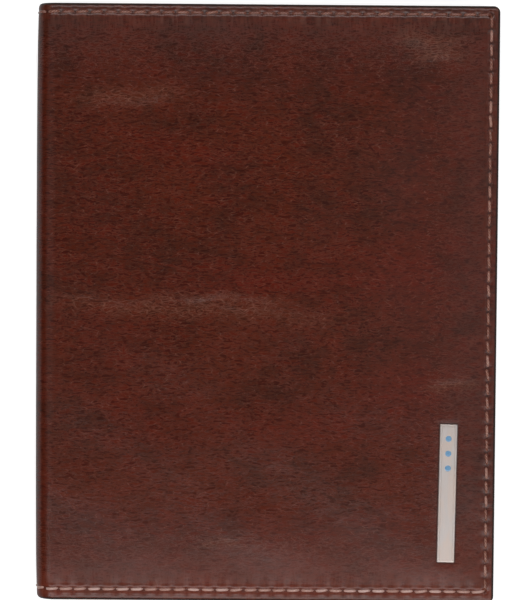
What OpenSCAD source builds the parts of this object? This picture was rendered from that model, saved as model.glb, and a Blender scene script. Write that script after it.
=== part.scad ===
// Passport holder: a leather cover that folds round a booklet like a book cover.
// It lies closed on its back half. X runs from the spine to the open edge, Y up the
// spine to the top edge, Z from the back half up through the front half.
// Each half is drawn with its outer face on z = 0 and its layers stacked inwards.

/* [Cover] */
// Width of the closed cover, from the outside of the spine to the open edge
cover_w = 106; // [100:1:150]
// Height of the cover, along the spine
cover_h = 137; // [120:1:220]
// Radius of the two corners at the open edge
corner_r = 1.5; // [0.5:0.1:2.5]
// Thickness of the outer leather
leather_t = 1.2; // [0.8:0.1:1.8]
// Thickness of the fibre board between leather and lining
board_t = 0.6; // [0.4:0.1:1.2]
// Thickness of the lining
lining_t = 0.3; // [0.2:0.1:0.8]

/* [Spine] */
// Bend radius at each fold, to the middle of the outer leather
fold_r = 4; // [3:0.1:5]
// Clearance between a half and the spine while they turn past each other
fold_clearance = 0.15; // [0.1:0.05:0.3]
// Room between the two halves for the pages of the booklet
booklet_gap = 4.4; // [4.2:0.1:12]

/* [Passport pockets] */
// Room behind a flap or panel for the cover of the booklet
pocket_gap = 0.7; // [0.5:0.1:2]
// Width of the flap on the back half, from the open edge to its mouth
flap_w = 60; // [30:1:90]
// Thickness of the flap
flap_t = 0.7; // [0.5:0.1:1.2]
// Width of the edge that is turned under along a sewn side
turned_edge_w = 3; // [2.5:0.1:6]

/* [Card slots] */
// Width of a bank card
card_w = 85.6; // [60:0.1:86]
// Height of a bank card
card_h = 54; // [40:0.1:60]
// Thickness of a bank card
card_t = 0.76; // [0.5:0.01:1]
// Clearance beside a card, on each side
card_side_clearance = 0.45; // [0.2:0.05:1]
// Clearance in the thickness of a slot
card_face_clearance = 0.06; // [0.02:0.01:0.3]
// How much of a card stands out of its slot
card_show = 6; // [3:0.5:20]
// Height of the upper slot's mouth above the middle of the cover
upper_mouth_y = 22; // [15:1:30]
// Distance from one mouth down to the next
mouth_step = 16; // [10:1:20]
// Thickness of the panel that the slots are sewn to
panel_t = 0.6; // [0.4:0.1:1]
// Thickness of a slot's leather
slot_t = 0.5; // [0.4:0.1:1]
// Width of the seam that closes the bottom of a slot
floor_w = 2; // [1:0.1:4]

/* [Seams] */
// Distance from the top edge to the middle of its seam
seam_top = 2; // [1:0.1:3]
// Distance from the open edge to the middle of its seam
seam_side = 2; // [1:0.1:3]
// Distance from the bottom edge to the middle of its seam
seam_bottom = 2.6; // [1:0.1:3]
// Width of a row of thread
thread_w = 0.7; // [0.4:0.1:1]
// Thickness of a row of thread
thread_t = 0.25; // [0.15:0.05:0.35]

/* [Name plate] */
// Width of the plate
plate_w = 4.1; // [3:0.1:10]
// Length of the plate
plate_l = 32; // [10:0.5:60]
// Thickness of the plate
plate_t = 0.8; // [0.5:0.1:1.5]
// How deep the plate is let into the leather
plate_sink = 0.45; // [0.2:0.05:0.6]
// Radius of the plate's corners
plate_corner_r = 0.3; // [0.1:0.1:1]
// Clearance between the plate and its recess, on each side
plate_clearance = 0.05; // [0.02:0.01:0.2]
// Distance from the open edge to the middle of the plate
plate_from_edge = 11; // [5:0.05:40]
// Distance from the bottom edge to the middle of the plate
plate_from_bottom = 25.4; // [15:0.5:100]
// Tilt of the plate, clockwise seen from the front
plate_tilt = 0.8; // [0:0.1:5]
// Distance between the plate's two pins
pin_spacing = 24; // [6:0.5:50]
// Radius of a pin
pin_r = 0.5; // [0.3:0.05:0.8]
// Radial clearance of a pin in the leather and in its washer
pin_clearance = 0.04; // [0.02:0.01:0.1]
// Radius of a washer
washer_r = 1.4; // [1:0.1:2.5]
// Thickness of a washer
washer_t = 0.25; // [0.1:0.05:0.35]
// Radial clearance between a washer and the hole in the board
washer_clearance = 0.4; // [0.1:0.1:1]

/* [Hidden] */
$fn = 64;

edge_x = cover_w / 2;
edge_y = cover_h / 2;
// Gap that keeps the strips of a turned edge separate where they meet
strip_gap = 0.2;

// Depths below the outer face of a half
board_z = leather_t;
lining_z = board_z + board_t;
pocket_z = lining_z + lining_t;
flap_z = pocket_z + pocket_gap;
back_t = flap_z + flap_t;
panel_z = pocket_z + pocket_gap;
card_gap = card_t + card_face_clearance;
slot_pitch_z = card_gap + slot_t;
slots_z = panel_z + panel_t;
front_t = slots_z + 2 * slot_pitch_z;
closed_t = back_t + booklet_gap + front_t;

// Centre of a fold, and the slot at 45 degrees where a half ends and the spine begins.
// The joint's pivot lies on that diagonal, pivot_out outside the leather's middle.
fold_x = -edge_x + leather_t / 2 + fold_r;
fold_z = leather_t / 2 + fold_r;
pivot_out = (PI / 4 * sqrt(2) - 1) * fold_r;
fold_slot = 2 * (max(leather_t / 2 - pivot_out, 0) + fold_clearance);

flap_x = edge_x - flap_w;
panel_w = card_w + 2 * (card_side_clearance + turned_edge_w);
panel_x = edge_x - panel_w;
slot_depth = card_h - card_show;
lower_mouth_y = upper_mouth_y - mouth_step;

plate_x = edge_x - plate_from_edge;
plate_y = -edge_y + plate_from_bottom;
pin_l = leather_t - plate_sink + washer_t;

LEATHER = [0.29, 0.13, 0.10];
POCKET = [0.26, 0.12, 0.09];
EDGE = [0.20, 0.09, 0.07];
LINING = [0.22, 0.14, 0.11];
BOARD = [0.62, 0.52, 0.40];
THREAD = [0.45, 0.27, 0.23];
PLATE = [0.78, 0.73, 0.69];
STEEL = [0.66, 0.66, 0.68];

// Puts a half's drawing on top, outer face up
module front() {
    translate([0, 0, closed_t]) mirror([0, 0, 1]) children();
}

// A half's outline from x0 to the open edge, with that edge's corners rounded
module outline(x0) {
    translate([x0, -edge_y + corner_r]) square([edge_x - x0, 2 * (edge_y - corner_r)]);
    translate([x0, -edge_y]) square([edge_x - corner_r - x0, 2 * edge_y]);
    for (side = [-1, 1])
        translate([edge_x - corner_r, side * (edge_y - corner_r)]) circle(corner_r);
}

// A flat layer of a half, from x0 to the open edge and between two heights
module layer(x0, z, t, y_lo = -edge_y, y_hi = edge_y) {
    translate([0, 0, z]) linear_extrude(t) intersection() {
        outline(x0);
        translate([x0, y_lo]) square([edge_x - x0, y_hi - y_lo]);
    }
}

// The strips turned under a pocket along the open edge, the top and the bottom
module turned_edge(x0, z, t) {
    inner_y = edge_y - turned_edge_w;
    layer(x0, z, t, inner_y, edge_y);
    layer(x0, z, t, -edge_y, -inner_y);
    layer(edge_x - turned_edge_w, z, t, -inner_y + strip_gap, inner_y - strip_gap);
}

// The quarter bend of a sheet between two radii. The half holds one eighth of a turn
// and the spine the other, on either side of the slot.
module bend(r_outer, r_inner, on_spine) {
    reach = 2 * r_outer;
    translate([fold_x, 0, fold_z]) rotate([90, 0, 0]) linear_extrude(cover_h, center = true)
        intersection() {
            difference() {
                circle(r_outer);
                circle(r_inner);
            }
            translate([-reach, -reach]) square(reach);
            rotate(45) translate([-reach, on_spine ? fold_slot / 2 : -reach])
                square([reach, reach - fold_slot / 2]);
        }
}

// One sheet of a half with its share of the bend
module folded_layer(z, t) {
    layer(fold_x, z, t);
    bend(fold_z - z, fold_z - z - t, false);
}

// The same sheet where it crosses the spine
module spine_layer(depth, t) {
    translate([-edge_x + depth, -edge_y, fold_z]) cube([t, cover_h, closed_t - 2 * fold_z]);
    bend(fold_z - depth, fold_z - depth - t, true);
    front() bend(fold_z - depth, fold_z - depth - t, true);
}

// Rows of thread round a half from x0, between two heights
module seam(x0, x1, z, y_lo = -edge_y, y_hi = edge_y) {
    side_x = edge_x - seam_side;
    top_y = edge_y - seam_top;
    bottom_y = -edge_y + seam_bottom;
    half_w = thread_w / 2;
    translate([0, 0, z]) linear_extrude(thread_t) intersection() {
        union() {
            for (y = [top_y, bottom_y])
                translate([x0, y - half_w]) square([side_x + half_w - x0, thread_w]);
            translate([side_x - half_w, bottom_y - half_w])
                square([thread_w, top_y - bottom_y + thread_w]);
        }
        translate([x0, y_lo]) square([x1 - x0, y_hi - y_lo]);
    }
}

module outer_seam() { seam(fold_x, edge_x, 0); }
module flap_seam() { seam(flap_x, edge_x, back_t - thread_t); }
module panel_seam() { seam(panel_x, edge_x, slots_z - thread_t, upper_mouth_y); }

// The rows of thread across the two ends of the spine, from one fold to the other
module spine_seam(depth) {
    for (y = [edge_y - seam_top, -edge_y + seam_bottom])
        translate([-edge_x + depth, y - thread_w / 2, fold_z])
            cube([thread_t, thread_w, closed_t - 2 * fold_z]);
}

// Slot number 0 is the upper one. Each slot's leather lies on the one before it
// and runs from its mouth down to the bottom edge.
function mouth_y(slot) = upper_mouth_y - slot * mouth_step;
function slot_z(slot) = slots_z + slot * slot_pitch_z + card_gap;

module slot_rim_seam(slot) {
    next_y = slot == 0 ? lower_mouth_y : -edge_y;
    seam(panel_x, edge_x, slot_z(slot) + slot_t - thread_t, next_y, mouth_y(slot));
}

// The row that joins a slot to the panel on the spine side, and the lower slot's floor row
module slot_inner_seam(slot) {
    next_y = slot == 0 ? lower_mouth_y : -edge_y + seam_bottom + thread_w;
    translate([0, 0, slot_z(slot) + slot_t - thread_t]) linear_extrude(thread_t) {
        translate([panel_x + seam_side - thread_w / 2, next_y])
            square([thread_w, mouth_y(slot) - next_y]);
        if (slot == 1)
            translate([panel_x + turned_edge_w, mouth_y(slot) - slot_depth - (floor_w + thread_w) / 2])
                square([panel_w - 2 * turned_edge_w, thread_w]);
    }
}

module slot_leather(slot) {
    difference() {
        layer(panel_x, slot_z(slot), slot_t, -edge_y, mouth_y(slot));
        slot_rim_seam(slot);
        slot_inner_seam(slot);
    }
}

// A slot's closed sides: two long strips, one along the bottom edge and its floor
module slot_edge(slot) {
    z = slot_z(slot) - card_gap;
    side_w = turned_edge_w;
    low_y = -edge_y + turned_edge_w;
    floor_y = mouth_y(slot) - slot_depth;
    layer(panel_x, z, card_gap, -edge_y, low_y);
    layer(edge_x - side_w, z, card_gap, low_y + strip_gap, mouth_y(slot));
    translate([panel_x, low_y + strip_gap, z])
        cube([side_w, mouth_y(slot) - low_y - strip_gap, card_gap]);
    translate([panel_x + side_w + strip_gap, floor_y - floor_w, z])
        cube([panel_w - 2 * (side_w + strip_gap), floor_w, card_gap]);
}

// Places what belongs to the plate, with z = 0 on the outer face of the front half
module at_plate() {
    front() translate([plate_x, plate_y]) rotate([0, 0, -plate_tilt]) children();
}

module at_pins() {
    for (end = [-1, 1]) translate([0, end * pin_spacing / 2]) children();
}

module plate_outline(grow) {
    w = plate_w / 2 + grow;
    l = plate_l / 2 + grow;
    r = plate_corner_r + grow;
    square([2 * (w - r), 2 * l], center = true);
    square([2 * w, 2 * (l - r)], center = true);
    for (x = [-1, 1], y = [-1, 1]) translate([x * (w - r), y * (l - r)]) circle(r);
}

// ---- Back half ----

module back_outer_leather() {
    color(LEATHER) difference() {
        folded_layer(0, leather_t);
        outer_seam();
    }
}

module back_board() {
    color(BOARD) layer(fold_x, board_z, board_t);
}

module back_lining() {
    color(LINING) folded_layer(lining_z, lining_t);
}

module passport_flap() {
    color(POCKET) difference() {
        layer(flap_x, flap_z, flap_t);
        flap_seam();
    }
}

module passport_flap_turned_edge() {
    color(EDGE) turned_edge(flap_x, pocket_z, pocket_gap);
}

module back_needle_thread() {
    color(THREAD) outer_seam();
}

module back_bobbin_thread() {
    color(THREAD) {
        flap_seam();
        seam(fold_x, flap_x, pocket_z);
    }
}

// ---- Spine ----

module spine_outer_leather() {
    color(LEATHER) difference() {
        spine_layer(0, leather_t);
        spine_seam(0);
    }
}

module spine_board() {
    color(BOARD) translate([-edge_x + board_z, -edge_y, fold_z])
        cube([board_t, cover_h, closed_t - 2 * fold_z]);
}

module spine_lining() {
    color(LINING) spine_layer(lining_z, lining_t);
}

module spine_needle_thread() {
    color(THREAD) spine_seam(0);
}

module spine_bobbin_thread() {
    color(THREAD) spine_seam(pocket_z);
}

// ---- Front half ----

module front_outer_leather() {
    color(LEATHER) difference() {
        front() difference() {
            folded_layer(0, leather_t);
            outer_seam();
        }
        at_plate() linear_extrude(plate_sink) plate_outline(plate_clearance);
        at_plate() at_pins() cylinder(r = pin_r + pin_clearance, h = leather_t);
    }
}

module front_board() {
    color(BOARD) difference() {
        front() layer(fold_x, board_z, board_t);
        at_plate() at_pins() translate([0, 0, board_z])
            cylinder(r = washer_r + washer_clearance, h = board_t);
    }
}

module front_lining() {
    color(LINING) front() folded_layer(lining_z, lining_t);
}

module card_panel() {
    color(POCKET) front() difference() {
        layer(panel_x, panel_z, panel_t);
        panel_seam();
    }
}

module card_panel_turned_edge() {
    color(EDGE) front() turned_edge(panel_x, pocket_z, pocket_gap);
}

module card_slot_upper() { color(POCKET) front() slot_leather(0); }
module card_slot_upper_edge() { color(EDGE) front() slot_edge(0); }
module card_slot_lower() { color(POCKET) front() slot_leather(1); }
module card_slot_lower_edge() { color(EDGE) front() slot_edge(1); }

module card_slot_thread() {
    color(THREAD) front() for (slot = [0, 1]) slot_inner_seam(slot);
}

module front_needle_thread() {
    color(THREAD) front() outer_seam();
}

module front_bobbin_thread() {
    color(THREAD) front() {
        seam(fold_x, panel_x, pocket_z);
        panel_seam();
        for (slot = [0, 1]) slot_rim_seam(slot);
    }
}

module name_plate() {
    color(PLATE) at_plate() translate([0, 0, plate_sink - plate_t])
        linear_extrude(plate_t) plate_outline(0);
}

module plate_pins() {
    color(STEEL) at_plate() at_pins() translate([0, 0, plate_sink])
        cylinder(r = pin_r, h = pin_l);
}

module plate_washers() {
    color(STEEL) at_plate() at_pins() translate([0, 0, board_z]) difference() {
        cylinder(r = washer_r, h = washer_t);
        cylinder(r = pin_r + pin_clearance, h = washer_t);
    }
}

back_outer_leather();
back_board();
back_lining();
passport_flap();
passport_flap_turned_edge();
back_needle_thread();
back_bobbin_thread();
spine_outer_leather();
spine_board();
spine_lining();
spine_needle_thread();
spine_bobbin_thread();
front_outer_leather();
front_board();
front_lining();
card_panel();
card_panel_turned_edge();
card_slot_upper();
card_slot_upper_edge();
card_slot_lower();
card_slot_lower_edge();
card_slot_thread();
front_needle_thread();
front_bobbin_thread();
name_plate();
plate_pins();
plate_washers();
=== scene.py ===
import bmesh
import bpy
import numpy as np
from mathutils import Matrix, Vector


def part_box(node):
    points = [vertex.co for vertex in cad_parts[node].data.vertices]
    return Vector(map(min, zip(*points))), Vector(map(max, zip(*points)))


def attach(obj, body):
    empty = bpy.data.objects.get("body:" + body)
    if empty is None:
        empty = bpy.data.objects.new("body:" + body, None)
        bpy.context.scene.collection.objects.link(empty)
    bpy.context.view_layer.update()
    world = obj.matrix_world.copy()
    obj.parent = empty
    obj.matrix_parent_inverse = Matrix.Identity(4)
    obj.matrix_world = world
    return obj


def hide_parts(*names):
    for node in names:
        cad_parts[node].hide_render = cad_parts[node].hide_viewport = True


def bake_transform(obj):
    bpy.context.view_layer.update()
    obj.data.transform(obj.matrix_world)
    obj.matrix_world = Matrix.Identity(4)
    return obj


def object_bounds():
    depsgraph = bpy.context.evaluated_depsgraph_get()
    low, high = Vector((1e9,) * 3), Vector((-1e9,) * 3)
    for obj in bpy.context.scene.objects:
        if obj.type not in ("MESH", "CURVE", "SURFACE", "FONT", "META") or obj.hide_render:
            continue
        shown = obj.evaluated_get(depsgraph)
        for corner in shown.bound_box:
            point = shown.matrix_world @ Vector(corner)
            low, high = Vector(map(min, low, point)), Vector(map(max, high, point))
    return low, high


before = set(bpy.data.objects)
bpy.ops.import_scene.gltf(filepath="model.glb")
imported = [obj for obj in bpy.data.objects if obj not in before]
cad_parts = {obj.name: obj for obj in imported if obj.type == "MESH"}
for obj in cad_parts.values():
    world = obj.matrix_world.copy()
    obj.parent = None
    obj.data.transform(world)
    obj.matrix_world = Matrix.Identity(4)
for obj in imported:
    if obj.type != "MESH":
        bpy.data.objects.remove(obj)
cad_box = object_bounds()

# ---- Camera ----
# It looks down on the closed holder, a long lens half a metre above it, a little towards the top
# edge, and is turned by half a degree, so that the holder lies almost square in the picture.
mm = 0.001
camera_reach = 514.2 * mm
camera = bpy.data.objects.new("camera", bpy.data.cameras.new("camera"))
bpy.context.scene.collection.objects.link(camera)
bpy.context.scene.camera = camera
camera.data.lens = 135
camera.data.sensor_width = 36
camera.data.clip_start = 0.01
camera.location = (-0.25 * mm, 23.15 * mm, cad_box[1].z + camera_reach)
camera.rotation_euler = np.radians((-2.46, 0, 0.454))
bpy.context.scene.view_settings.view_transform = "Standard"

# ---- Outer leather ----
# One sheet of smooth, semi-gloss, reddish-brown calf leather, 1.2 mm thick, cut to size, glued
# over the boards and sewn round its edge. Its cut edges are rounded, burnished and painted dark.
# It is made in two pieces that meet in the middle of the spine, one for each fold.
open_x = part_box("back_outer_leather")[1].x
end_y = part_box("back_outer_leather")[1].y
closed_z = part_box("front_outer_leather")[1].z
leather_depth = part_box("back_board")[0].z
fold_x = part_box("back_board")[0].x
fold_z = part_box("spine_board")[0].z
spine_half = closed_z / 2 - fold_z
bend_r = fold_z - leather_depth / 2
bend_girth = bend_r * np.pi / 2
flat_s = spine_half + bend_girth
end_s = flat_s + open_x - fold_x
corner_r, corner_reach = 1.5 * mm, 6 * mm
edge_roll_w, edge_roll_deep = 0.95 * mm, 0.62 * mm
edge_fall, edge_fall_w = 0.16 * mm, 5 * mm
face_fall, face_fall_w = 0.28 * mm, 14 * mm

seam_top, seam_side, seam_bottom = 2 * mm, 2 * mm, 2.6 * mm
top_stitches, side_stitches = 33, 41
groove_w, groove_deep = 0.42 * mm, 0.09 * mm
pit_r, pit_deep = 0.46 * mm, 0.22 * mm
lip_from, lip_w, lip_high = 0.8 * mm, 0.3 * mm, 0.06 * mm
pucker_reach, drawn_reach = 2.2 * mm, 3.4 * mm
side_s = end_s - seam_side
high_y, low_y = end_y - seam_top, -end_y + seam_bottom
top_pitch = side_s / top_stitches
side_pitch = (high_y - low_y) / side_stitches


def round_the_fold(s, y, n, front):
    """Places a point of one half. s is the girth from the middle of the spine, measured in the
    leather, y the height and n the depth below the outer face. It runs straight down the spine,
    then round a quarter circle about the fold's centre, then flat to the open edge. The front
    half is the back half mirrored in height."""
    turn = np.clip((s - spine_half) / bend_r, 0, np.pi / 2)
    reach = fold_z - n
    x = fold_x - reach * np.cos(turn) + np.maximum(s - flat_s, 0)
    z = fold_z - reach * np.sin(turn) + np.maximum(spine_half - s, 0)
    return np.stack([x, y + 0 * x, closed_z - z if front else z], -1)


def s_of(x):
    """The girth at which the flat of a half reaches x."""
    return flat_s + x - fold_x


def make_piece(name, points, faces, lay=None, material=None, sharp=40, **masks):
    """A mesh object from its points and faces, with its normals pointing out. lay holds each
    point's place on the flat leather, for the patterns, and masks hold one number per point."""
    mesh = bpy.data.meshes.new(name)
    mesh.from_pydata(points.reshape(-1, 3).tolist(), [], faces)
    shell = bmesh.new()
    shell.from_mesh(mesh)
    bmesh.ops.recalc_face_normals(shell, faces=shell.faces)
    shell.to_mesh(mesh)
    shell.free()
    mesh.polygons.foreach_set("use_smooth", np.ones(len(mesh.polygons), bool))
    mesh.set_sharp_from_angle(angle=np.radians(sharp))
    if lay is not None:
        corner = np.zeros(len(mesh.loops), np.int32)
        mesh.loops.foreach_get("vertex_index", corner)
        layer = mesh.uv_layers.new(name="lay")
        layer.data.foreach_set("uv", lay.reshape(-1, 2)[corner].astype(np.float32).ravel())
    for mask, values in masks.items():
        held = mesh.attributes.new(mask, "FLOAT", "POINT")
        held.data.foreach_set("value", values.astype(np.float32).ravel())
    piece = bpy.data.objects.new(name, mesh)
    bpy.context.scene.collection.objects.link(piece)
    if material:
        mesh.materials.append(material)
    return piece


def cut_sheet(name, s, y, face, back, front, material, **masks):
    """A closed sheet on the grid of lines s by y. Its worked face lies at the depths in face and
    its other side at the depth back. The grid is drawn in at the open edge's two corners, where
    the outline is a quarter circle, and walls join the two sides all round."""
    wide, tall = len(s), len(y)
    s_grid, y_grid = np.meshgrid(s, y, indexing="ij")
    beyond = np.clip(s_grid - (end_s - corner_r), 0, corner_r)
    cut_back = corner_r - np.sqrt(corner_r ** 2 - beyond ** 2)
    share = np.clip((np.abs(y_grid) - (end_y - corner_reach)) / corner_reach, 0, 1)
    y_grid = y_grid - np.sign(y_grid) * share * cut_back
    top = round_the_fold(s_grid, y_grid, face, front)
    at = np.arange(wide * tall).reshape(wide, tall)
    ring = np.concatenate([at[:, 0], at[-1, 1:], at[-2::-1, -1], at[0, -2:0:-1]])
    under = np.full(wide * tall, -1)
    under[ring] = wide * tall + np.arange(len(ring))
    bottom = round_the_fold(s_grid, y_grid, np.full_like(s_grid, back), front).reshape(-1, 3)[ring]
    under = under.reshape(wide, tall)
    quads = np.stack([at[:-1, :-1], at[1:, :-1], at[1:, 1:], at[:-1, 1:]], -1).reshape(-1, 4)
    low = under.reshape(-1)[ring]
    walls = np.stack([np.roll(ring, -1), ring, low, np.roll(low, -1)], -1)
    strips = np.stack([under[1:-2, 0], under[1:-2, -1], under[2:-1, -1], under[2:-1, 0]], -1)
    ends = [[under[1, 0], *under[0], under[1, -1]], [under[-2, -1], *under[-1, ::-1], under[-2, 0]]]
    faces = quads.tolist() + walls.tolist() + strips.tolist() + [list(map(int, e)) for e in ends]
    lay = np.stack([s_grid if front else -s_grid, y_grid], -1).reshape(-1, 2)
    both = {m: np.concatenate([v.ravel(), v.ravel()[ring]]) for m, v in masks.items()}
    points = np.concatenate([top.reshape(-1, 3), bottom])
    return make_piece(name, points, faces, np.concatenate([lay, lay[ring]]), material, **both)


def fan(width, steps):
    """Steps that start close together at a cut edge and widen towards the seam."""
    return width * (1 - np.cos(np.linspace(0, np.pi / 2, steps + 1)))


def sheet_grid(start, top, per_stitch, rolled=0.8 * mm):
    """Grid lines for a sheet that runs from the girth start to the open edge and from the bottom
    edge up to top. They are even between the seams, so that each needle hole is met by a line,
    and close together over the sheet's cut edges."""
    s = np.linspace(0, side_s, top_stitches * per_stitch + 1)
    y = np.linspace(low_y, high_y, side_stitches * per_stitch + 1)
    halves = (np.arange(5) + 0.5) / per_stitch
    s = np.sort(np.concatenate([s, side_s - halves * top_pitch]))
    y = np.sort(np.concatenate([y, low_y + halves * side_pitch, high_y - halves * side_pitch]))
    if start > 0:
        s = np.concatenate([start + fan(rolled, 5), s[s > start + 1.2 * rolled]])
    if top < end_y:
        y = np.concatenate([y[y < top - 1.2 * rolled], (top - fan(rolled, 5))[::-1]])
    else:
        y = np.concatenate([y, (top - fan(seam_top, per_stitch + 4)[:-1])[::-1]])
    s = np.concatenate([s, (end_s - fan(seam_side, per_stitch + 2)[:-1])[::-1]])
    y = np.concatenate([-end_y + fan(seam_bottom, per_stitch + 4)[:-1], y])
    return s, y, *np.meshgrid(s, y, indexing="ij")


def plane_waves(x, y, shortest, longest, count, seed):
    """A sum of plane waves with lengths from shortest to longest and random directions and
    phases, scaled so that it mostly stays between -1 and 1."""
    draw = np.random.default_rng(seed)
    length = draw.uniform(shortest, longest, count)
    way, phase = draw.uniform(0, np.pi, count), draw.uniform(0, 2 * np.pi, count)
    total = 0
    for k in range(count):
        along = x * np.cos(way[k]) + y * np.sin(way[k])
        total = total + np.sin(2 * np.pi * along / length[k] + phase[k])
    return total / np.sqrt(count) / 1.2


def seam_pull(along, pitch, across, folded=1.0):
    """How far a seam draws the leather in, in metres, how hard it presses, from 0 to 1, which is
    also how much painted shade lies in its groove and needle pits, and how much it puckers the
    leather beside it. A groove runs along the thread, a pit lies at each needle hole, a lip swells
    on both sides of each stitch, and folds of three widths run square to the seam and fade away
    from it."""
    from_hole = (along / pitch + 0.5) % 1 * pitch - pitch / 2
    groove = np.exp(-(across / groove_w) ** 2)
    pit = np.exp(-(from_hole ** 2 + across ** 2) / pit_r ** 2)
    lip = np.exp(-((np.abs(across) - lip_from) / lip_w) ** 2) * (
        0.5 - 0.5 * np.cos(2 * np.pi * along / pitch))
    fade = folded * np.exp(-(across / pucker_reach) ** 2)
    narrow_fold = np.sin(2 * np.pi * along / (1.9 * mm) + 4 * np.sin(along / (7 * mm)))
    wide_fold = np.sin(2 * np.pi * along / (4.7 * mm) + 3 * np.sin(along / (11 * mm)))
    stitch_fold = np.cos(2 * np.pi * along / pitch)
    folds = 0.05 * mm * stitch_fold + 0.022 * mm * (narrow_fold + wide_fold)
    pull = groove_deep * groove + pit_deep * pit - lip_high * lip + folds * fade
    drawn = np.exp(-(across / drawn_reach) ** 2)
    return pull, np.clip(0.15 * groove + 0.85 * pit, 0, 1), drawn


# Creases pressed into the front by use: middle, length, slope, depth and half width, in mm
creases = [
    (-32, 47.5, 24, 0.01, 0.14, 1.5), (-19, -1.2, 62, -0.055, 0.12, 1.4),
    (-12, 0.6, 34, -0.03, 0.09, 1.0), (43, -17.9, 12, 0.02, 0.09, 0.9),
    (-10, -55.4, 9, 0.05, 0.03, 0.7), (37, 60.5, 15, -0.12, 0.09, 1.6),
    (39, 56.8, 12, -0.08, 0.07, 1.3),
]
# Blotches in the dye of the front: middle, half width, half height, how red and how dark
blotches = [
    (-24.5, 36, 6, 3, 0.7, 0), (-13, 33, 6, 3, 0.5, 0), (28, 8, 20, 7, 0.6, 0),
    (-4, 4.5, 14, 4, 0.8, 0.4), (17, 45, 9, 8, 0, 0.8), (-22, 9, 16, 4, 0, 0.4),
    (25, 30, 16, 8, 0, 0.4), (-40, 20, 10, 24, 0.2, 0.4), (-34, -9, 9, 10, 0.3, 0.5),
    (8, -28, 22, 5, 0.5, 0), (30, -20, 12, 6, 0.6, 0.1), (-28, -27, 12, 8, 0.3, 0.3),
]
broad_swell, small_swell = 0.08 * mm, 0.008 * mm
# Rubbing with a painted sheen: its strength at the bottom seam, and how far up it fades
low_rub_sheen, low_rub_sheen_reach = 0.125, 14 * mm

# The plate is let into the leather, so its outline is needed here
plate_wide, plate_long, plate_corner = 4.1 * mm, 32 * mm, 0.3 * mm
plate_sink, plate_turn = 0.47 * mm, np.radians(-0.8)
plate_lap, plate_dip = 0.45 * mm, 0.07 * mm
plate_low, plate_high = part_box("name_plate")
plate_x, plate_y = (plate_low.x + plate_high.x) / 2, (plate_low.y + plate_high.y) / 2


def from_plate(x, y):
    """The distance of a point from the plate's outline, less than nothing inside it."""
    u = (x - plate_x) * np.cos(plate_turn) + (y - plate_y) * np.sin(plate_turn)
    v = (y - plate_y) * np.cos(plate_turn) - (x - plate_x) * np.sin(plate_turn)
    past_u = np.abs(u) - plate_wide / 2 + plate_corner
    past_v = np.abs(v) - plate_long / 2 + plate_corner
    outside = np.hypot(np.maximum(past_u, 0), np.maximum(past_v, 0))
    return outside + np.minimum(np.maximum(past_u, past_v), 0) - plate_corner


def crown(d):
    """The depth of the crowned face at the distance d from the cut edge. It is the sum of a
    short and a long fall, and each fades as the exponential of the distance."""
    return edge_fall * np.exp(-d / edge_fall_w) + face_fall * np.exp(-d / face_fall_w)


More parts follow.
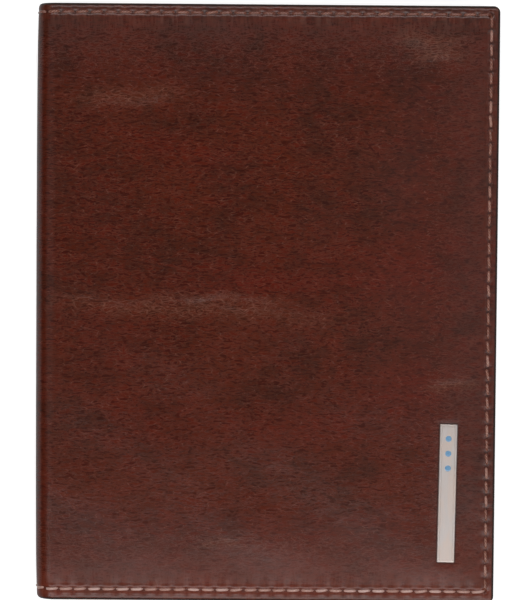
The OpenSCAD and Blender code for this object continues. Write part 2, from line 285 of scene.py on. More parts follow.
def outer_face(s, y, front, seed):
    """The depth of the outer face and its masks. It is crowned, so it falls away towards the cut
    edges, rolls over them in a quarter ellipse, is drawn in along the seams and rises and falls
    a little all over. Creases are wavering grooves with a bell-shaped section, and blotches are
    bell-shaped spots. Rubbing with a painted sheen is strongest along the bottom seam, fades
    upwards from it and lies in thin strips beside the seams. Painted shade lies in the seam
    grooves and needle pits and as a shadow line round the plate."""
    d = np.minimum(end_s - s, end_y - np.abs(y))
    roll = np.clip(1 - d / edge_roll_w, 0, 1)
    depth = edge_roll_deep * (1 - np.sqrt(1 - roll ** 2)) + crown(d)
    pressed, drawn = np.zeros_like(s), np.zeros_like(s)
    past = 0.3 * mm
    in_long = np.clip((side_s + past - s) / past, 0, 1)
    in_short = (y < high_y + past) & (y > low_y - past)
    for along, pitch, across, inside, folded in (
            (s, top_pitch, y - high_y, in_long, 1), (s, top_pitch, y - low_y, in_long, 1),
            (y - low_y, side_pitch, s - side_s, in_short, 0.2)):
        pull, press, pucker = seam_pull(along, pitch, across, folded)
        depth, pressed = depth + inside * pull, np.maximum(pressed, inside * press)
        if pitch == top_pitch:
            drawn = np.maximum(drawn, pucker)
    x = s - flat_s + fold_x
    still = np.clip(s / (9 * mm), 0, 1) ** 2 * np.clip(d / (4 * mm), 0, 1)
    depth = depth + still * broad_swell * (1 + plane_waves(s, y, 16 * mm, 44 * mm, 12, seed))
    depth = depth + still * small_swell * (1 + plane_waves(s, y, 3 * mm, 8 * mm, 30, seed + 1))
    worn, warm, dim = np.zeros_like(s), np.zeros_like(s), np.zeros_like(s)
    for cx, cy, length, slope, deep, wide in creases if front else creases[2:5]:
        u = x - cx * mm
        waver = 0.35 * mm * np.sin(u / (2.3 * mm) + cy) + 0.5 * mm * np.sin(u / (7.1 * mm) + cx)
        v = y - cy * mm - slope * u - waver
        mark = np.exp(-(v / (wide * mm)) ** 2) * np.exp(-(u / (0.42 * length * mm)) ** 4)
        depth = depth + still * deep * mm * mark
        worn = np.maximum(worn, np.sqrt(mark) * still)
    for cx, cy, half_wide, half_high, redder, darker in blotches if front else blotches[3:9]:
        spread = ((x / mm - cx) / half_wide) ** 2 + ((y / mm - cy) / half_high) ** 2
        warm, dim = warm + redder * np.exp(-spread), dim + darker * np.exp(-spread)
    if front:
        away = from_plate(x, y)
        depth = depth + plate_dip * np.exp(-(np.maximum(away, 0) / (0.6 * mm)) ** 2)
        depth = np.where(away < -plate_lap, plate_sink, depth)
        # A painted shadow line round the plate's outline
        pressed = np.maximum(pressed, 0.9 * np.exp(-(np.maximum(away, 0) / (0.4 * mm)) ** 2))
    # Rubbing and a painted sheen of light: paler and redder near the bottom seam, fading upwards,
    # with thin strips beside the seams
    from_low, from_high, from_side = y - low_y, high_y - y, side_s - s
    rub_and_sheen = low_rub_sheen * np.exp(-np.maximum(from_low, 0) / low_rub_sheen_reach)
    for across, strength, reach in ((from_low, 0.09, 0.9), (from_high, 0.02, 0.9),
                                    (from_side, 0.02, 1.2)):
        rub_and_sheen = rub_and_sheen + strength * np.exp(-(across / (reach * mm)) ** 2)
    rub_and_sheen = rub_and_sheen * np.clip((end_y - np.abs(y)) / (1.5 * mm), 0, 1)
    return depth, {"cut": d, "rub_and_sheen": rub_and_sheen, "pressed": pressed, "worn": worn, "drawn": drawn,
                   "warm": np.clip(warm, 0, 1), "dim": np.clip(dim, 0, 1)}


def fill(tree, sockets, values):
    """Sets each socket to its value, or links it from another node's socket."""
    for name, value in values.items():
        if isinstance(value, bpy.types.NodeSocket):
            tree.links.new(value, sockets[name])
        else:
            sockets[name].default_value = value


def node(tree, kind, inputs=None, **properties):
    """Adds a shader node with its inputs filled."""
    made = tree.nodes.new("ShaderNode" + kind)
    for name, value in properties.items():
        setattr(made, name, value)
    fill(tree, made.inputs, inputs or {})
    return made


def maths(tree, operation, a, b=0.0):
    """One sum on two numbers or sockets."""
    return node(tree, "Math", {0: a, 1: b}, operation=operation).outputs[0]


def mixed(tree, factor, a, b, how="MIX"):
    """One colour laid over another by a factor."""
    return node(tree, "Mix", {0: factor, 6: a, 7: b}, data_type="RGBA", blend_type=how).outputs[2]


def ranged(tree, value, low, high, to_low=0.0, to_high=1.0):
    """A number eased from one range into another."""
    inputs = {0: value, 1: low, 2: high, 3: to_low, 4: to_high}
    return node(tree, "MapRange", inputs, interpolation_type="SMOOTHSTEP").outputs[0]


def noise(tree, where, size, detail=2.0, rough=0.5, distortion=0.0, stretch=(1, 1, 1)):
    """Noise whose spots are size metres across, longer along an axis where stretch is larger."""
    scale = [1 / (size * k) for k in stretch]
    place = node(tree, "Mapping", {"Vector": where, "Scale": scale}).outputs[0]
    inputs = {"Vector": place, "Scale": 1.0, "Detail": detail, "Roughness": rough,
              "Distortion": distortion}
    return node(tree, "TexNoise", inputs).outputs[0]


def relief(tree, height, deep, **more):
    """The normal of a height that stands as far out as deep."""
    return node(tree, "Bump", {"Height": height, "Distance": deep, **more}).outputs[0]


def new_finish(name):
    """A plain finish: its material, its node tree and its shader's sockets."""
    made = bpy.data.materials.new(name)
    made.use_nodes = True
    return made, made.node_tree, made.node_tree.nodes["Principled BSDF"].inputs


def coat(finish, *names):
    """Puts a finish on CAD nodes that stay as they are."""
    for name in names:
        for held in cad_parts[name].material_slots:
            held.material = finish


def new_group(name, inputs, outputs):
    """An empty node group with those sockets."""
    group = bpy.data.node_groups.new(name, "ShaderNodeTree")
    for socket, kind in inputs:
        group.interface.new_socket(socket, in_out="INPUT", socket_type="NodeSocket" + kind)
    for socket, kind in outputs:
        group.interface.new_socket(socket, in_out="OUTPUT", socket_type="NodeSocket" + kind)
    return group, group.nodes.new("NodeGroupInput"), group.nodes.new("NodeGroupOutput")


def leather_grain():
    """The skin's pattern. A broken net of fine wrinkles, laid over ripples that follow a slow
    drift, runs mostly from side to side, and beside the long seams it gives way to streaks
    square to them. Broad clouds and small spots vary the dye. Shade is dark between ripples."""
    group, given, out = new_group(
        "leather_grain",
        [("Lay", "Vector"), ("Wrinkle", "Float"), ("Crease", "Float"), ("Drawn", "Float")],
        [("Height", "Float"), ("Lines", "Float"), ("Clouds", "Float"), ("Spots", "Float"),
         ("Shade", "Float")])
    lay = given.outputs["Lay"]
    cloud_w, spot_w, fine_w = 17 * mm, 3.6 * mm, 0.25 * mm
    drift_w, drift_by, fold_w = 5 * mm, 1.5 * mm, 1.3 * mm
    cell_long, cell_wide, break_w = 2.6 * mm, 0.6 * mm, 0.8 * mm
    ripple_w, streak_w = 0.5 * mm, 0.5 * mm
    drift = noise(group, lay, drift_w, 2.0, 0.6)
    shift = node(group, "CombineXYZ", {1: maths(group, "MULTIPLY", drift, drift_by)}).outputs[0]
    bent = node(group, "VectorMath", {0: lay, 1: shift}, operation="ADD").outputs[0]
    spots = ranged(group, noise(group, lay, spot_w, 5.0, 0.72, 0.5, (1.8, 1, 1)), 0.36, 0.64)
    place = node(group, "Mapping", {"Vector": bent, "Scale": (1 / cell_long, 1 / cell_wide, 1)})
    cells = node(group, "TexVoronoi", {"Vector": place.outputs[0], "Scale": 1.0},
                 feature="DISTANCE_TO_EDGE", voronoi_dimensions="2D")
    net = ranged(group, cells.outputs["Distance"], 0.0, 0.18, 1.0, 0.0)
    flow = noise(group, bent, ripple_w, 3.0, 0.62, 0.8, (3.4, 1, 1))
    ripples = ranged(group, maths(group, "ABSOLUTE", maths(group, "SUBTRACT", flow, 0.5)),
                     0.0, 0.05, 1.0, 0.0)
    broken = ranged(group, noise(group, bent, break_w, 3.0, 0.6, 0.0, (3, 1, 1)), 0.38, 0.62)
    net = maths(group, "MAXIMUM", maths(group, "MULTIPLY", net, broken), maths(
        group, "MULTIPLY", ripples, 0.75))
    streaks = ranged(group, noise(group, lay, streak_w, 2.0, 0.6, 0.6, (1, 6, 1)), 0.40, 0.68)
    lines = node(group, "Mix", {0: maths(group, "MULTIPLY", given.outputs["Drawn"], 0.9), 2: net,
                                3: streaks}).outputs[0]
    folds = noise(group, bent, fold_w, 2.0, 0.5, 0.5, (3.0, 1, 1))
    fine = noise(group, lay, fine_w, 2.0, 0.6)
    line_h = maths(group, "MULTIPLY", lines, given.outputs["Wrinkle"])
    fold_h = maths(group, "MULTIPLY", folds, maths(
        group, "ADD", maths(group, "MULTIPLY", given.outputs["Crease"], 1.8), 0.9))
    height = maths(group, "ADD", line_h, fold_h)
    height = maths(group, "ADD", height, maths(group, "MULTIPLY", fine, 0.16))
    clouds = ranged(group, noise(group, lay, cloud_w, 2.0, 0.55, 0.3), 0.36, 0.64)
    shade = ranged(group, flow, 0.34, 0.60, 1.0, 0.0)
    fill(group, out.inputs, {"Height": height, "Lines": lines, "Clouds": clouds, "Spots": spots,
                             "Shade": shade})
    return group


grain = leather_grain()


def edge_paint():
    """Dark paint on a cut edge: a mask of where it lies, its border slightly ragged."""
    group, given, out = new_group(
        "edge_paint", [("Distance", "Float"), ("Lay", "Vector"), ("Width", "Float")],
        [("Paint", "Float")])
    drips_w, ragged_by = 1.1 * mm, 0.5 * mm
    drips = noise(group, given.outputs["Lay"], drips_w, 3.0, 0.6)
    ragged = maths(group, "MULTIPLY", maths(group, "SUBTRACT", drips, 0.5), ragged_by)
    reach = maths(group, "ADD", given.outputs["Distance"], ragged)
    share = maths(group, "DIVIDE", reach, given.outputs["Width"])
    fill(group, out.inputs, {"Paint": ranged(group, share, 0.75, 1.15, 1.0, 0.0)})
    return group


painted = edge_paint()
# The first colour is that of rubbing with a painted sheen
rub_sheen_tone, shade_tint = (0.50, 0.095, 0.045, 1), (0.57, 0.50, 0.46, 1)


def leather(name, dark, body, red, pale, edge, rough, bump, paint_width, polish):
    """A dyed leather: body colour clouded with a darker and a redder one, shaded between its
    ripples, wrinkles and creases paler, paler and redder where rubbing and a painted sheen lie,
    painted shade in the needle pits, seam grooves and creases and round the plate, the painted
    cut edge darker, and duller towards the edges."""
    made, tree, shader = new_finish(name)
    lay = node(tree, "UVMap", uv_map="lay").outputs[0]
    masks = {m: node(tree, "Attribute", attribute_name=m).outputs["Fac"]
             for m in ("cut", "pressed", "worn", "rub_and_sheen", "drawn", "warm", "dim")}
    skin = node(tree, "Group", node_tree=grain)
    fill(tree, skin.inputs, {"Lay": lay, "Crease": masks["worn"], "Drawn": masks["drawn"],
                             "Wrinkle": 0.22})
    paint = node(tree, "Group", node_tree=painted)
    fill(tree, paint.inputs, {"Lay": lay, "Distance": masks["cut"], "Width": paint_width})
    clouds, spots, lines = (skin.outputs[k] for k in ("Clouds", "Spots", "Lines"))
    colour = mixed(tree, maths(tree, "MULTIPLY", clouds, maths(
        tree, "SUBTRACT", 1.0, masks["dim"])), dark, body)
    colour = mixed(tree, maths(tree, "ADD", maths(tree, "MULTIPLY", spots, 0.42), maths(
        tree, "MULTIPLY", masks["warm"], 0.55)), colour, red)
    light = maths(tree, "ADD", maths(tree, "MULTIPLY", masks["worn"], 0.34), maths(
        tree, "ADD", maths(tree, "MULTIPLY", masks["drawn"], 0.10), maths(
            tree, "MULTIPLY", spots, 0.16)))
    light = maths(tree, "MULTIPLY", maths(tree, "ADD", light, 0.10), lines)
    light = maths(tree, "ADD", light, maths(tree, "MULTIPLY", masks["worn"], 0.10))
    colour = mixed(tree, skin.outputs["Shade"], colour, shade_tint, "MULTIPLY")
    colour = mixed(tree, light, colour, pale)
    # Rubbing and a painted sheen, paler and redder towards the bottom
    colour = mixed(tree, masks["rub_and_sheen"], colour, rub_sheen_tone)
    # Painted shade in the seam grooves, needle pits and creases and round the plate, in the colour
    # of the edge paint
    colour = mixed(tree, maths(tree, "MULTIPLY", masks["pressed"], 0.5), colour, edge)
    colour = mixed(tree, paint.outputs[0], colour, edge)
    gloss = maths(tree, "ADD", rough, maths(tree, "MULTIPLY", lines, 0.06))
    gloss = maths(tree, "ADD", gloss, ranged(tree, masks["cut"], 2 * mm, 22 * mm, polish, 0.0))
    fill(tree, shader, {"Base Color": colour, "Roughness": gloss,
                        "Normal": relief(tree, skin.outputs["Height"], bump)})
    return made


cover_leather = leather(
    "cover_leather", dark=(0.066, 0.0104, 0.0030, 1), body=(0.101, 0.0134, 0.0033, 1),
    red=(0.142, 0.0086, 0.0018, 1), pale=(0.27, 0.102, 0.060, 1), edge=(0.036, 0.0215, 0.0185, 1),
    rough=0.215, bump=0.02 * mm, paint_width=0.5 * mm, polish=0.06)

s_lines, y_lines, s_grid, y_grid = sheet_grid(0, end_y, per_stitch=7)


def follow_fold(piece):
    """Bakes the piece's placement into its points and leaves it unattached to the halves and the
    spine.
    """
    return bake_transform(piece)


for half, front, seed in (("front", True, 3), ("back", False, 11)):
    depth, masks = outer_face(s_grid, y_grid, front, seed)
    piece = cut_sheet("outer_leather_" + half, s_lines, y_lines, depth, leather_depth, front,
                      cover_leather, **masks)
    follow_fold(piece)
    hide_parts(half + "_outer_leather", "spine_outer_leather")

# ---- Boards ----
# Bonded leather fibre board, 0.6 mm thick, between the leather and the lining of each half and
# of the spine. Only its cut edges show, painted together with the leather's.
board_paint, tree, shader = new_finish("board_paint")
place = node(tree, "TexCoord").outputs["Object"]
fibre = noise(tree, place, 0.35 * mm, 3.0, 0.6, 0.0, (3, 3, 1))
cloud = noise(tree, place, 4 * mm, 2.0)
paint_dark, paint_light = (0.020, 0.014, 0.013, 1), (0.034, 0.020, 0.016, 1)
bare_fibre = (0.075, 0.045, 0.032, 1)
colour = mixed(tree, ranged(tree, cloud, 0.35, 0.65), paint_dark, paint_light)
fill(tree, shader, {
    "Base Color": mixed(tree, ranged(tree, fibre, 0.5, 0.75, 0.0, 0.5), colour, bare_fibre),
    "Roughness": ranged(tree, fibre, 0.3, 0.7, 0.42, 0.62),
    "Normal": relief(tree, fibre, 0.06 * mm)})
coat(board_paint, "back_board", "spine_board", "front_board")

# ---- Lining ----
# A dark brown woven cloth, 0.3 mm thick, glued over the boards and round the spine. It is one
# sheet on the real holder and two here, one for each fold.
lining_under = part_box("back_board")[1].z
lining_face_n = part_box("passport_flap_turned_edge")[0].z
cloth_pitch, edge_press_w, edge_press_deep = 0.42 * mm, 0.4 * mm, 0.12 * mm

lining_cloth, tree, shader = new_finish("lining_cloth")
lay = node(tree, "UVMap", uv_map="lay").outputs[0]
counted = node(tree, "VectorMath", {0: lay, 1: (1 / cloth_pitch,) * 3}, operation="MULTIPLY")
threads = node(tree, "SeparateXYZ", {0: counted.outputs[0]}).outputs
warp, weft = (maths(tree, "ABSOLUTE", maths(tree, "SINE", maths(
    tree, "MULTIPLY", threads[k], np.pi))) for k in (0, 1))
steps = maths(tree, "ADD", *(maths(tree, "FLOOR", threads[k]) for k in (0, 1)))
over = maths(tree, "GREATER_THAN", maths(tree, "FRACT", maths(tree, "MULTIPLY", steps, 1 / 3)), 0.5)
weave = mixed(tree, over, warp, weft)
slub = noise(tree, lay, 1.2 * mm, 2.0, 0.6, 0.0, (4, 1, 1))
warp_tone, weft_tone = (0.048, 0.024, 0.016, 1), (0.070, 0.036, 0.024, 1)
slub_tone = (0.098, 0.054, 0.038, 1)
colour = mixed(tree, over, warp_tone, weft_tone)
fill(tree, shader, {
    "Base Color": mixed(tree, ranged(tree, slub, 0.4, 0.7, 0.0, 0.5), colour, slub_tone),
    "Roughness": ranged(tree, slub, 0.3, 0.7, 0.7, 0.88),
    "Normal": relief(tree, weave, 0.12 * mm, Strength=0.8),
    "Sheen Weight": 0.25, "Sheen Roughness": 0.5})
for half, front, seed in (("front", True, 21), ("back", False, 23)):
    s, y, s_grid, y_grid = sheet_grid(0, end_y, per_stitch=3)
    depth, edge = lining_face_n + 0 * s_grid, np.minimum(end_s - s_grid, end_y - np.abs(y_grid))
    depth -= edge_press_deep * np.clip(1 - edge / edge_press_w, 0, 1) ** 2
    for row_y in (high_y, low_y):
        depth -= 0.5 * seam_pull(s_grid, top_pitch, y_grid - row_y)[0]
    ripple = plane_waves(s_grid, y_grid, 9 * mm, 30 * mm, 8, seed)
    depth -= 0.02 * mm * (1 + ripple) * (s_grid > flat_s)
    piece = cut_sheet("lining_" + half, s, y, depth, lining_under, front, lining_cloth)
    follow_fold(piece)
    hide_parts(half + "_lining", "spine_lining")

# ---- Pockets ----
# Thin satin calf inside: a flap on the back half, and on the front half a panel with two card
# slots sewn on it. Each mouth is folded over and creased with a hot iron 1.8 mm from its edge.
pocket_leather = leather(
    "pocket_leather", dark=(0.062, 0.0150, 0.0075, 1), body=(0.092, 0.0215, 0.0100, 1),
    red=(0.115, 0.0190, 0.0075, 1), pale=(0.22, 0.098, 0.062, 1), edge=(0.032, 0.0185, 0.0155, 1),
    rough=0.42, bump=0.045 * mm, paint_width=0.35 * mm, polish=0.02)

pocket_roll_w, pocket_roll_deep, pocket_swell = 0.4 * mm, 0.3 * mm, 0.04 * mm
crease_from, crease_w, crease_deep = 1.8 * mm, 0.28 * mm, 0.08 * mm
second_crease_from = 1.1 * mm


def pocket_face(s, y, start, top, level, long_rows, short_rows, seed):
    """The depth of a pocket's face. It lies at level, rolls over its cut edges in a quarter
    ellipse, dips along its creased mouths and is drawn in along its seams. A long row runs
    along s at a height and ends at two girths, a short row along y between two heights."""
    to_start = s - start
    to_top = top - y
    cut = np.minimum(np.minimum(end_s - s, y + end_y), np.minimum(to_start, to_top))
    roll = np.clip(1 - cut / pocket_roll_w, 0, 1)
    depth = pocket_roll_deep * (1 - np.sqrt(1 - roll ** 2))
    mouth = to_top if top < end_y else to_start
    crease = np.exp(-((mouth - crease_from) / crease_w) ** 2)
    crease = crease + 0.6 * np.exp(-((mouth - second_crease_from) / crease_w) ** 2)
    # The creases are darkened as pressed leather with painted shade
    pressed = 0.5 * crease
    depth = depth + crease_deep * crease
    past = 0.3 * mm
    seams = [((s > s0 - past) & (s < s1 + past), seam_pull(s, top_pitch, y - row_y))
             for row_y, s0, s1 in long_rows]
    seams += [((y > y0 - past) & (y < y1 + past), seam_pull(y - low_y, side_pitch, s - row_s))
              for row_s, y0, y1 in short_rows]
    for inside, (pull, press, _) in seams:
        depth, pressed = depth + inside * 0.7 * pull, np.maximum(pressed, inside * press)
    still = np.clip(cut / (4 * mm), 0, 1)
    swell = plane_waves(s, y, 12 * mm, 34 * mm, 8, seed) + 0.3 * plane_waves(
        s, y, 3 * mm, 7 * mm, 10, seed + 1)
    depth = depth + still * pocket_swell * (1 + swell)
    return level - depth, pressed, cut


flap_s = s_of(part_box("passport_flap")[0].x)
panel_s = s_of(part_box("card_panel")[0].x)
inner_s = panel_s + seam_side
upper_y, lower_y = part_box("card_slot_upper")[1].y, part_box("card_slot_lower")[1].y
slot_deep, edge_w = 49 * mm, 3 * mm
slot_floor_y = lower_y - slot_deep


def levels(node_name, front):
    """The depths of a flat pocket's two faces below the outer face of its half."""
    low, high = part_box(node_name)
    return (closed_z - high.z, closed_z - low.z) if front else (low.z, high.z)


# Each pocket's name, whether it is on the front half, the girth it starts at, the height of its
# top, its long rows and short rows of stitches, and the seed of its waves
side_rows = [(side_s, low_y, high_y)]
pockets = [
    ("passport_flap", False, flap_s, end_y, [(high_y, flap_s, side_s), (low_y, flap_s, side_s)],
     side_rows, 31),
    ("card_panel", True, panel_s, end_y, [(high_y, panel_s, side_s), (low_y, panel_s, side_s)],
     side_rows, 41),
    ("card_slot_upper", True, panel_s, upper_y, [(low_y, panel_s, side_s)],
     [(side_s, low_y, upper_y), (inner_s, lower_y, upper_y)], 51),
    ("card_slot_lower", True, panel_s, lower_y,
     [(low_y, panel_s, side_s), (slot_floor_y, panel_s + edge_w, end_s - edge_w)],
     [(side_s, low_y, lower_y), (inner_s, low_y, lower_y)], 61),
]
cover_only_masks = ("worn", "rub_and_sheen", "drawn", "warm", "dim")
for name, front, start, top, long_rows, short_rows, seed in pockets:
    under, level = levels(name, front)
    s, y, s_grid, y_grid = sheet_grid(start, top, per_stitch=4)
    depth, pressed, cut = pocket_face(s_grid, y_grid, start, top, level, long_rows, short_rows, seed)
    piece = cut_sheet(name + "_leather", s, y, depth, under, front, pocket_leather,
                      cut=cut, pressed=pressed, **{mask: 0 * cut for mask in cover_only_masks})
    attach(piece, "front_cover" if front else "back_cover")
    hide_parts(name)

# The sewn edges of the flap, the panel and the slots are turned under, and the fold shows at the
# sides as a strip of the same leather with its edge painted.
edge_leather, tree, shader = new_finish("edge_leather")
skin = node(tree, "Group", node_tree=grain)
fill(tree, skin.inputs, {"Lay": node(tree, "TexCoord").outputs["Object"], "Wrinkle": 0.5})
edge_dark, edge_light = (0.034, 0.0155, 0.0115, 1), (0.050, 0.0195, 0.0130, 1)
colour = mixed(tree, skin.outputs["Clouds"], edge_dark, edge_light)
lines = maths(tree, "MULTIPLY", skin.outputs["Lines"], 0.4)
fill(tree, shader, {
    "Base Color": mixed(tree, lines, colour, (0.090, 0.038, 0.025, 1)),
    "Roughness": ranged(tree, skin.outputs["Spots"], 0.0, 1.0, 0.42, 0.6),
    "Normal": relief(tree, skin.outputs["Height"], 0.08 * mm)})
coat(edge_leather, "passport_flap_turned_edge", "card_panel_turned_edge", "card_slot_upper_edge",
     "card_slot_lower_edge")

# ---- Threads ----
# Waxed three-ply polyester, sewn through all the layers in lock stitches 3.2 mm long. The needle
# thread lies outside and the bobbin thread inside, and both dive into the same holes.
needle_r, bobbin_r = 0.30 * mm, 0.22 * mm
ply_pitch, dive, sunk = 0.75 * mm, 0.75 * mm, 0.03 * mm
stitch_rings, ring_points = 9, 6


def sewing_thread(name, dark, light, rub_and_sheen):
    """Twisted thread: slanting plies along each stitch, a little wax, each stitch its own tone,
    and paler towards a painted highlight, a near-white glint, as its tone rises."""
    made, tree, shader = new_finish(name)
    lay = node(tree, "UVMap", uv_map="lay").outputs[0]
    part = node(tree, "SeparateXYZ", {0: lay})
    turn = maths(tree, "ADD", maths(tree, "MULTIPLY", part.outputs[0], 2 * np.pi / ply_pitch),
                 maths(tree, "MULTIPLY", part.outputs[1], 6 * np.pi))
    ply = maths(tree, "ADD", maths(tree, "MULTIPLY", maths(tree, "SINE", turn), 0.5), 0.5)
    fuzz = noise(tree, lay, 0.12 * mm, 2.0, 0.6)
    tone = node(tree, "Attribute", attribute_name="tone").outputs["Fac"]
    colour = mixed(tree, ranged(tree, maths(tree, "ADD", maths(tree, "MULTIPLY", ply, 0.7), maths(
        tree, "MULTIPLY", tone, 0.6)), 0.1, 1.2), dark, light)
    height = maths(tree, "ADD", ply, maths(tree, "MULTIPLY", fuzz, 0.3))
    fill(tree, shader, {
        # Painted highlight: the higher the tone, the nearer the colour comes to a pale glint
        "Base Color": mixed(tree, ranged(tree, tone, 0.3, 2.9), colour, rub_and_sheen),
        "Roughness": ranged(tree, fuzz, 0.3, 0.7, 0.26, 0.38),
        "Normal": relief(tree, height, 0.03 * mm),
        "Sheen Weight": 0.15, "Coat Weight": 0.7, "Coat Roughness": 0.3})
    return made


# The third colour is a painted glint, near white
thread_finish = sewing_thread("sewing_thread", (0.20, 0.058, 0.034, 1), (0.46, 0.20, 0.140, 1),
                              (0.85, 0.58, 0.52, 1))


def stitches(name, rows, front, radius, outside, seed, row_sheen=0.0):
    """Rows of stitches as one mesh. A row is (s, y, s, y, how many, depth of the face). Each
    stitch is a flattened tube on a few rings of points. Its middle arches just clear of the face
    and its ends dive into the holes with the cube of the distance from the middle. Each stitch
    draws its own tone at random; the last argument adds to it a painted highlight along the
    bottom row and takes half of it away along the top as painted shade."""
    draw = np.random.default_rng(seed)
    centre, way, half_long, level = [], [], [], []
    for s0, y0, s1, y1, count, face in rows:
        steps = (np.arange(count) + 0.5)[:, None] / count
        start, end = np.array([s0, y0]), np.array([s1, y1])
        centre.append(start + steps * (end - start))
        way.append(np.repeat([(end - start) / np.hypot(*(end - start))], count, 0))
        half_long.append(np.full(count, np.hypot(*(end - start)) / count / 2))
        level.append(np.full(count, face))
    centre, way = np.concatenate(centre), np.concatenate(way)
    half_long, level = np.concatenate(half_long), np.concatenate(level)
    many = len(centre)
    slant = draw.normal(0.06, 0.05, many)[:, None, None]
    lift = draw.normal(0.06, 0.03, many)[:, None, None] * mm
    t = np.linspace(-1, 1, stitch_rings)[None, :, None]
    turn = np.linspace(0, 2 * np.pi, ring_points + 1)[:-1][None, None, :]
    thick = radius * (1 - 0.22 * t ** 4)
    along = half_long[:, None, None] * (0.97 * t + 0 * turn)
    across = thick * np.cos(turn) * 1.08 + slant * along
    up = thick * np.sin(turn) * 0.85 + lift - dive * np.abs(t) ** 3
    s = centre[:, 0, None, None] + along * way[:, 0, None, None] - across * way[:, 1, None, None]
    y = centre[:, 1, None, None] + along * way[:, 1, None, None] + across * way[:, 0, None, None]
    n = level[:, None, None] + (-up if outside else up)
    points = round_the_fold(s, y, n, front)
    at = np.arange(many * stitch_rings * ring_points).reshape(many, stitch_rings, ring_points)
    nxt = np.roll(at, -1, 2)
    tube = np.stack([at[:, :-1], nxt[:, :-1], nxt[:, 1:], at[:, 1:]], -1).reshape(-1, 4)
    caps = np.concatenate([at[:, 0, ::-1], at[:, -1]])
    lay = np.stack([along + centre[:, 0, None, None] * 1.37 + centre[:, 1, None, None],
                    (turn / (2 * np.pi)) + 0 * along], -1)
    # Painted highlight on the bottom row and half as much painted shade on the top row, over a
    # random tone
    at_low, at_high = centre[:, 1] < low_y + 1 * mm, centre[:, 1] > high_y - 1 * mm
    tone = draw.uniform(0, 1, many) + row_sheen * (1.0 * at_low - 0.5 * at_high)
    tone = np.repeat(tone, stitch_rings * ring_points)
    return make_piece(name, points, tube.tolist() + caps.tolist(), lay, thread_finish, 60, tone=tone)


for half, front, seed in (("front", True, 5), ("back", False, 6)):
    rows = [(0, high_y, side_s, high_y, top_stitches, crown(seam_top) + sunk),
            (side_s, high_y, side_s, low_y, side_stitches, crown(seam_side) + sunk),
            (side_s, low_y, 0, low_y, top_stitches, crown(seam_bottom) + sunk)]
    piece = stitches("needle_thread_" + half, rows, front, needle_r, True, seed, row_sheen=1.1)
    follow_fold(piece)
    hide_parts(half + "_needle_thread", "spine_needle_thread")


def holes_between(start, end, pitch, origin=0.0):
    """The first and last needle hole between two places on a row, and the stitches between."""
    hair = 1e-6
    first = int(np.ceil((start - origin) / pitch - hair))
    last = int(np.floor((end - origin) / pitch + hair))
    return origin + first * pitch, origin + last * pitch, last - first


flap_level, panel_level = levels("passport_flap", False)[1], levels("card_panel", True)[1]
upper_level, lower_level = levels("card_slot_upper", True)[1], levels("card_slot_lower", True)[1]
back_rows, front_rows, slot_rows = [], [], []
# The long rows start on the lining and step up to the pocket where its mouth begins
for row_y in (high_y, low_y):
    for rows, mouth_s, level in ((back_rows, flap_s, flap_level), (
            front_rows, panel_s, panel_level if row_y > 0 else lower_level)):
        s0, s1, count = holes_between(0, mouth_s, top_pitch)
        rows.append((s0, row_y, s1, row_y, count, lining_face_n - sunk / 2))
        s0, s1, count = holes_between(mouth_s, side_s, top_pitch)
        rows.append((s0, row_y, s1, row_y, count, level - sunk))
back_rows.append((side_s, low_y, side_s, high_y, side_stitches, flap_level - sunk))
# The short rows on the front half step up at each slot's top, from the panel to the lower slot
for y_from, y_to, level, inner in ((upper_y, high_y, panel_level, False), (
        lower_y, upper_y, upper_level, True), (low_y, lower_y, lower_level, True)):
    y0, y1, count = holes_between(y_from, y_to, side_pitch, low_y)
    front_rows.append((side_s, y0, side_s, y1, count, level - sunk))
    if inner:
        slot_rows.append((inner_s, y0, inner_s, y1, count, level - sunk))
s0, s1, count = holes_between(panel_s + edge_w, end_s - edge_w, top_pitch)
slot_rows.append((s0, slot_floor_y, s1, slot_floor_y, count, lower_level - sunk))
for name, rows, front, nodes, seed in (
        ("bobbin_thread_back", back_rows, False, ["back_bobbin_thread", "spine_bobbin_thread"], 7),
        ("bobbin_thread_front", front_rows, True, ["front_bobbin_thread", "spine_bobbin_thread"], 8),
        ("slot_thread", slot_rows, True, ["card_slot_thread"], 9)):
    piece = stitches(name, rows, front, bobbin_r, False, seed)
    if name == "slot_thread":
        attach(piece, "front_cover")
    else:
        follow_fold(piece)
    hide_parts(*nodes)

# ---- Name plate ----
# Pressed from 0.8 mm sheet, its edge bevelled, with a fine engraved border and three small dots
# of blue enamel, then satin brushed lengthwise and plated a pale champagne. Let into the leather.
plate_metal, tree, shader = new_finish("plate_metal")
place = node(tree, "TexCoord").outputs["Object"]
brushing = noise(tree, place, 0.06 * mm, 3.0, 0.6, 0.0, (1, 60, 1))
smears = noise(tree, place, 2.2 * mm, 2.0, 0.5, 0.4, (1, 3, 1))
colour = mixed(tree, ranged(tree, smears, 0.3, 0.7), (0.72, 0.60, 0.54, 1), (0.67, 0.61, 0.59, 1))
brushed = (0.88, 0.80, 0.73, 1)
fill(tree, shader, {
    "Base Color": mixed(tree, ranged(tree, brushing, 0.45, 0.75, 0.0, 0.35), colour, brushed),
    "Metallic": 0.85,
    "Roughness": ranged(tree, brushing, 0.3, 0.7, 0.36, 0.52),
    "Normal": relief(tree, brushing, 0.012 * mm)})


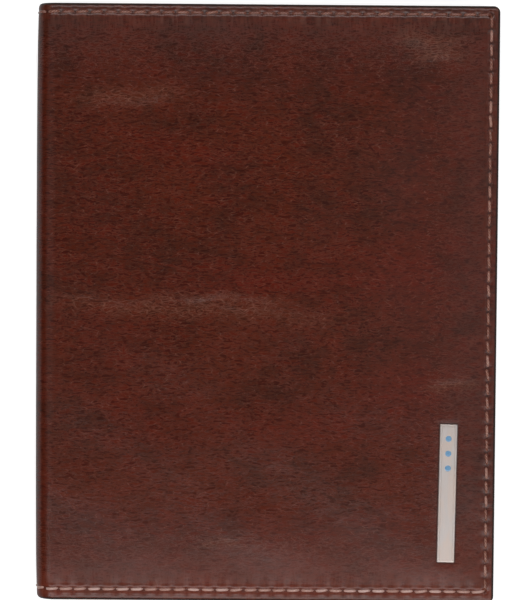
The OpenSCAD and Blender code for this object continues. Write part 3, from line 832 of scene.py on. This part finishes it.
def plate_outline(inset, z):
    """A rounded rectangle with eight points at each corner, turned and placed on the cover. An
    inset draws the sides in and makes the corners tighter."""
    half = np.array([plate_wide / 2, plate_long / 2]) - inset
    least_r, points = 0.02 * mm, 8
    r = max(plate_corner - inset, least_r)
    turn = np.linspace(0, np.pi / 2, points)
    arc = np.stack([np.cos(turn), np.sin(turn)], -1) * r + half - r
    corners = [arc, (arc * (-1, 1))[::-1], arc * (-1, -1), (arc * (1, -1))[::-1]]
    u, v = np.concatenate(corners).T
    x = plate_x + u * np.cos(plate_turn) - v * np.sin(plate_turn)
    y = plate_y + u * np.sin(plate_turn) + v * np.cos(plate_turn)
    return np.stack([x, y, z + 0 * x], -1)


def ringed(name, rings, material, sharp=35):
    """A closed mesh from rings of points, joined in order, with a face across each end."""
    count, around = rings.shape[:2]
    at = np.arange(count * around).reshape(count, around)
    nxt = np.roll(at, -1, 1)
    sides = np.stack([at[:-1], nxt[:-1], nxt[1:], at[1:]], -1).reshape(-1, 4)
    return make_piece(name, rings, sides.tolist() + [at[0, ::-1].tolist(), at[-1].tolist()],
                      None, material, sharp)


top_z = plate_high.z
plate_profile = [
    (0, plate_low.z), (0, top_z - 0.22 * mm), (0.03 * mm, top_z - 0.12 * mm),
    (0.10 * mm, top_z - 0.04 * mm), (0.22 * mm, top_z), (0.50 * mm, top_z),
    (0.54 * mm, top_z - 0.06 * mm), (0.62 * mm, top_z - 0.06 * mm), (0.66 * mm, top_z)]
rings = np.stack([plate_outline(inset, z) for inset, z in plate_profile])
plate = ringed("name_plate_metal", rings, plate_metal)
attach(plate, "front_cover")
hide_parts("name_plate")

enamel, tree, shader = new_finish("blue_enamel")
cloud = noise(tree, node(tree, "TexCoord").outputs["Object"], 0.3 * mm)
deep_blue, pale_blue = (0.19, 0.40, 0.66, 1), (0.24, 0.47, 0.72, 1)
fill(tree, shader, {
    "Base Color": mixed(tree, ranged(tree, cloud, 0.35, 0.65), deep_blue, pale_blue),
    "Roughness": ranged(tree, cloud, 0.3, 0.7, 0.2, 0.3),
    "Coat Weight": 0.5})
dots, dot_points = 3, 24
dot_r, dot_step, dot_high = 0.7 * mm, 3.4 * mm, 12.6 * mm
dot_profile = [(1, -0.10), (1, 0.02), (0.94, 0.045), (0.80, 0.065), (0.5, 0.085), (0.2, 0.09)]
turn = np.linspace(0, 2 * np.pi, dot_points + 1)[:-1]
for k in range(dots):
    v = dot_high - k * dot_step
    x, y = plate_x - v * np.sin(plate_turn), plate_y + v * np.cos(plate_turn)
    rings = np.stack([np.stack([x + dot_r * r * np.cos(turn), y + dot_r * r * np.sin(turn),
                                top_z + z * mm + 0 * turn], -1) for r, z in dot_profile])
    dot = ringed(f"enamel_dot_{k + 1}", rings, enamel)
    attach(dot, "front_cover")

# Two pins on the back of the plate pass through the leather and are riveted over washers.
pin_steel, tree, shader = new_finish("pin_steel")
place = node(tree, "TexCoord").outputs["Object"]
scratch = noise(tree, place, 0.15 * mm, 3.0, 0.6, 0.0, (4, 1, 1))
fill(tree, shader, {
    "Base Color": mixed(tree, scratch, (0.50, 0.50, 0.52, 1), (0.66, 0.66, 0.67, 1)),
    "Metallic": 1.0,
    "Roughness": ranged(tree, scratch, 0.3, 0.7, 0.28, 0.5)})
coat(pin_steel, "plate_pins", "plate_washers")

# ---- Floor and lights ----
# A white table under the holder and a dark ceiling above. Two long soft boxes stand over its
# ends and light it, and two weak ones at its sides bring out the open edge and the spine.
reach = 2.0
floor_mesh = bpy.data.meshes.new("floor")
table_corners = [(-reach, -reach, 0), (reach, -reach, 0), (reach, reach, 0), (-reach, reach, 0)]
floor_mesh.from_pydata(table_corners, [], [(0, 1, 2, 3)])
floor = bpy.data.objects.new("floor", floor_mesh)
bpy.context.scene.collection.objects.link(floor)
floor_paint, tree, shader = new_finish("floor_paint")
seen = node(tree, "LightPath").outputs["Is Camera Ray"]
fill(tree, shader, {
    "Base Color": (0.7, 0.7, 0.7, 1), "Roughness": 0.9, "Specular IOR Level": 0.0,
    "Emission Color": (1, 1, 1, 1), "Emission Strength": maths(tree, "MULTIPLY", seen, 0.75)})
floor_mesh.materials.append(floor_paint)

world = bpy.data.worlds.new("studio")
bpy.context.scene.world = world
world.use_nodes = True
ceiling_glow = 0.04
ceiling = world.node_tree.nodes["Background"].inputs
fill(world.node_tree, ceiling, {"Color": (1, 1, 1, 1), "Strength": ceiling_glow})


def soft_box(name, place, aim, width, length, watts):
    """A rectangular soft light that faces the point aim."""
    lamp = bpy.data.lights.new(name, "AREA")
    lamp.shape, lamp.size, lamp.size_y = "RECTANGLE", width, length
    lamp.energy = watts
    box = bpy.data.objects.new(name, lamp)
    bpy.context.scene.collection.objects.link(box)
    box.location = place
    box.rotation_euler = (Vector(aim) - Vector(place)).to_track_quat("-Z", "Y").to_euler()


soft_box("box_near", (0.0, -0.47, 0.87), (0, -0.066, 0), 1.8, 0.30, 5.4)
soft_box("box_far", (0.0, 0.49, 0.87), (0, 0.066, 0), 1.8, 0.14, 4.3)
soft_box("box_right", (0.50, 0.0, 0.90), (0.05, 0, 0), 0.2, 0.9, 0.26)
soft_box("box_left", (-0.60, 0.0, 0.90), (-0.05, 0, 0), 0.2, 0.9, 0.18)
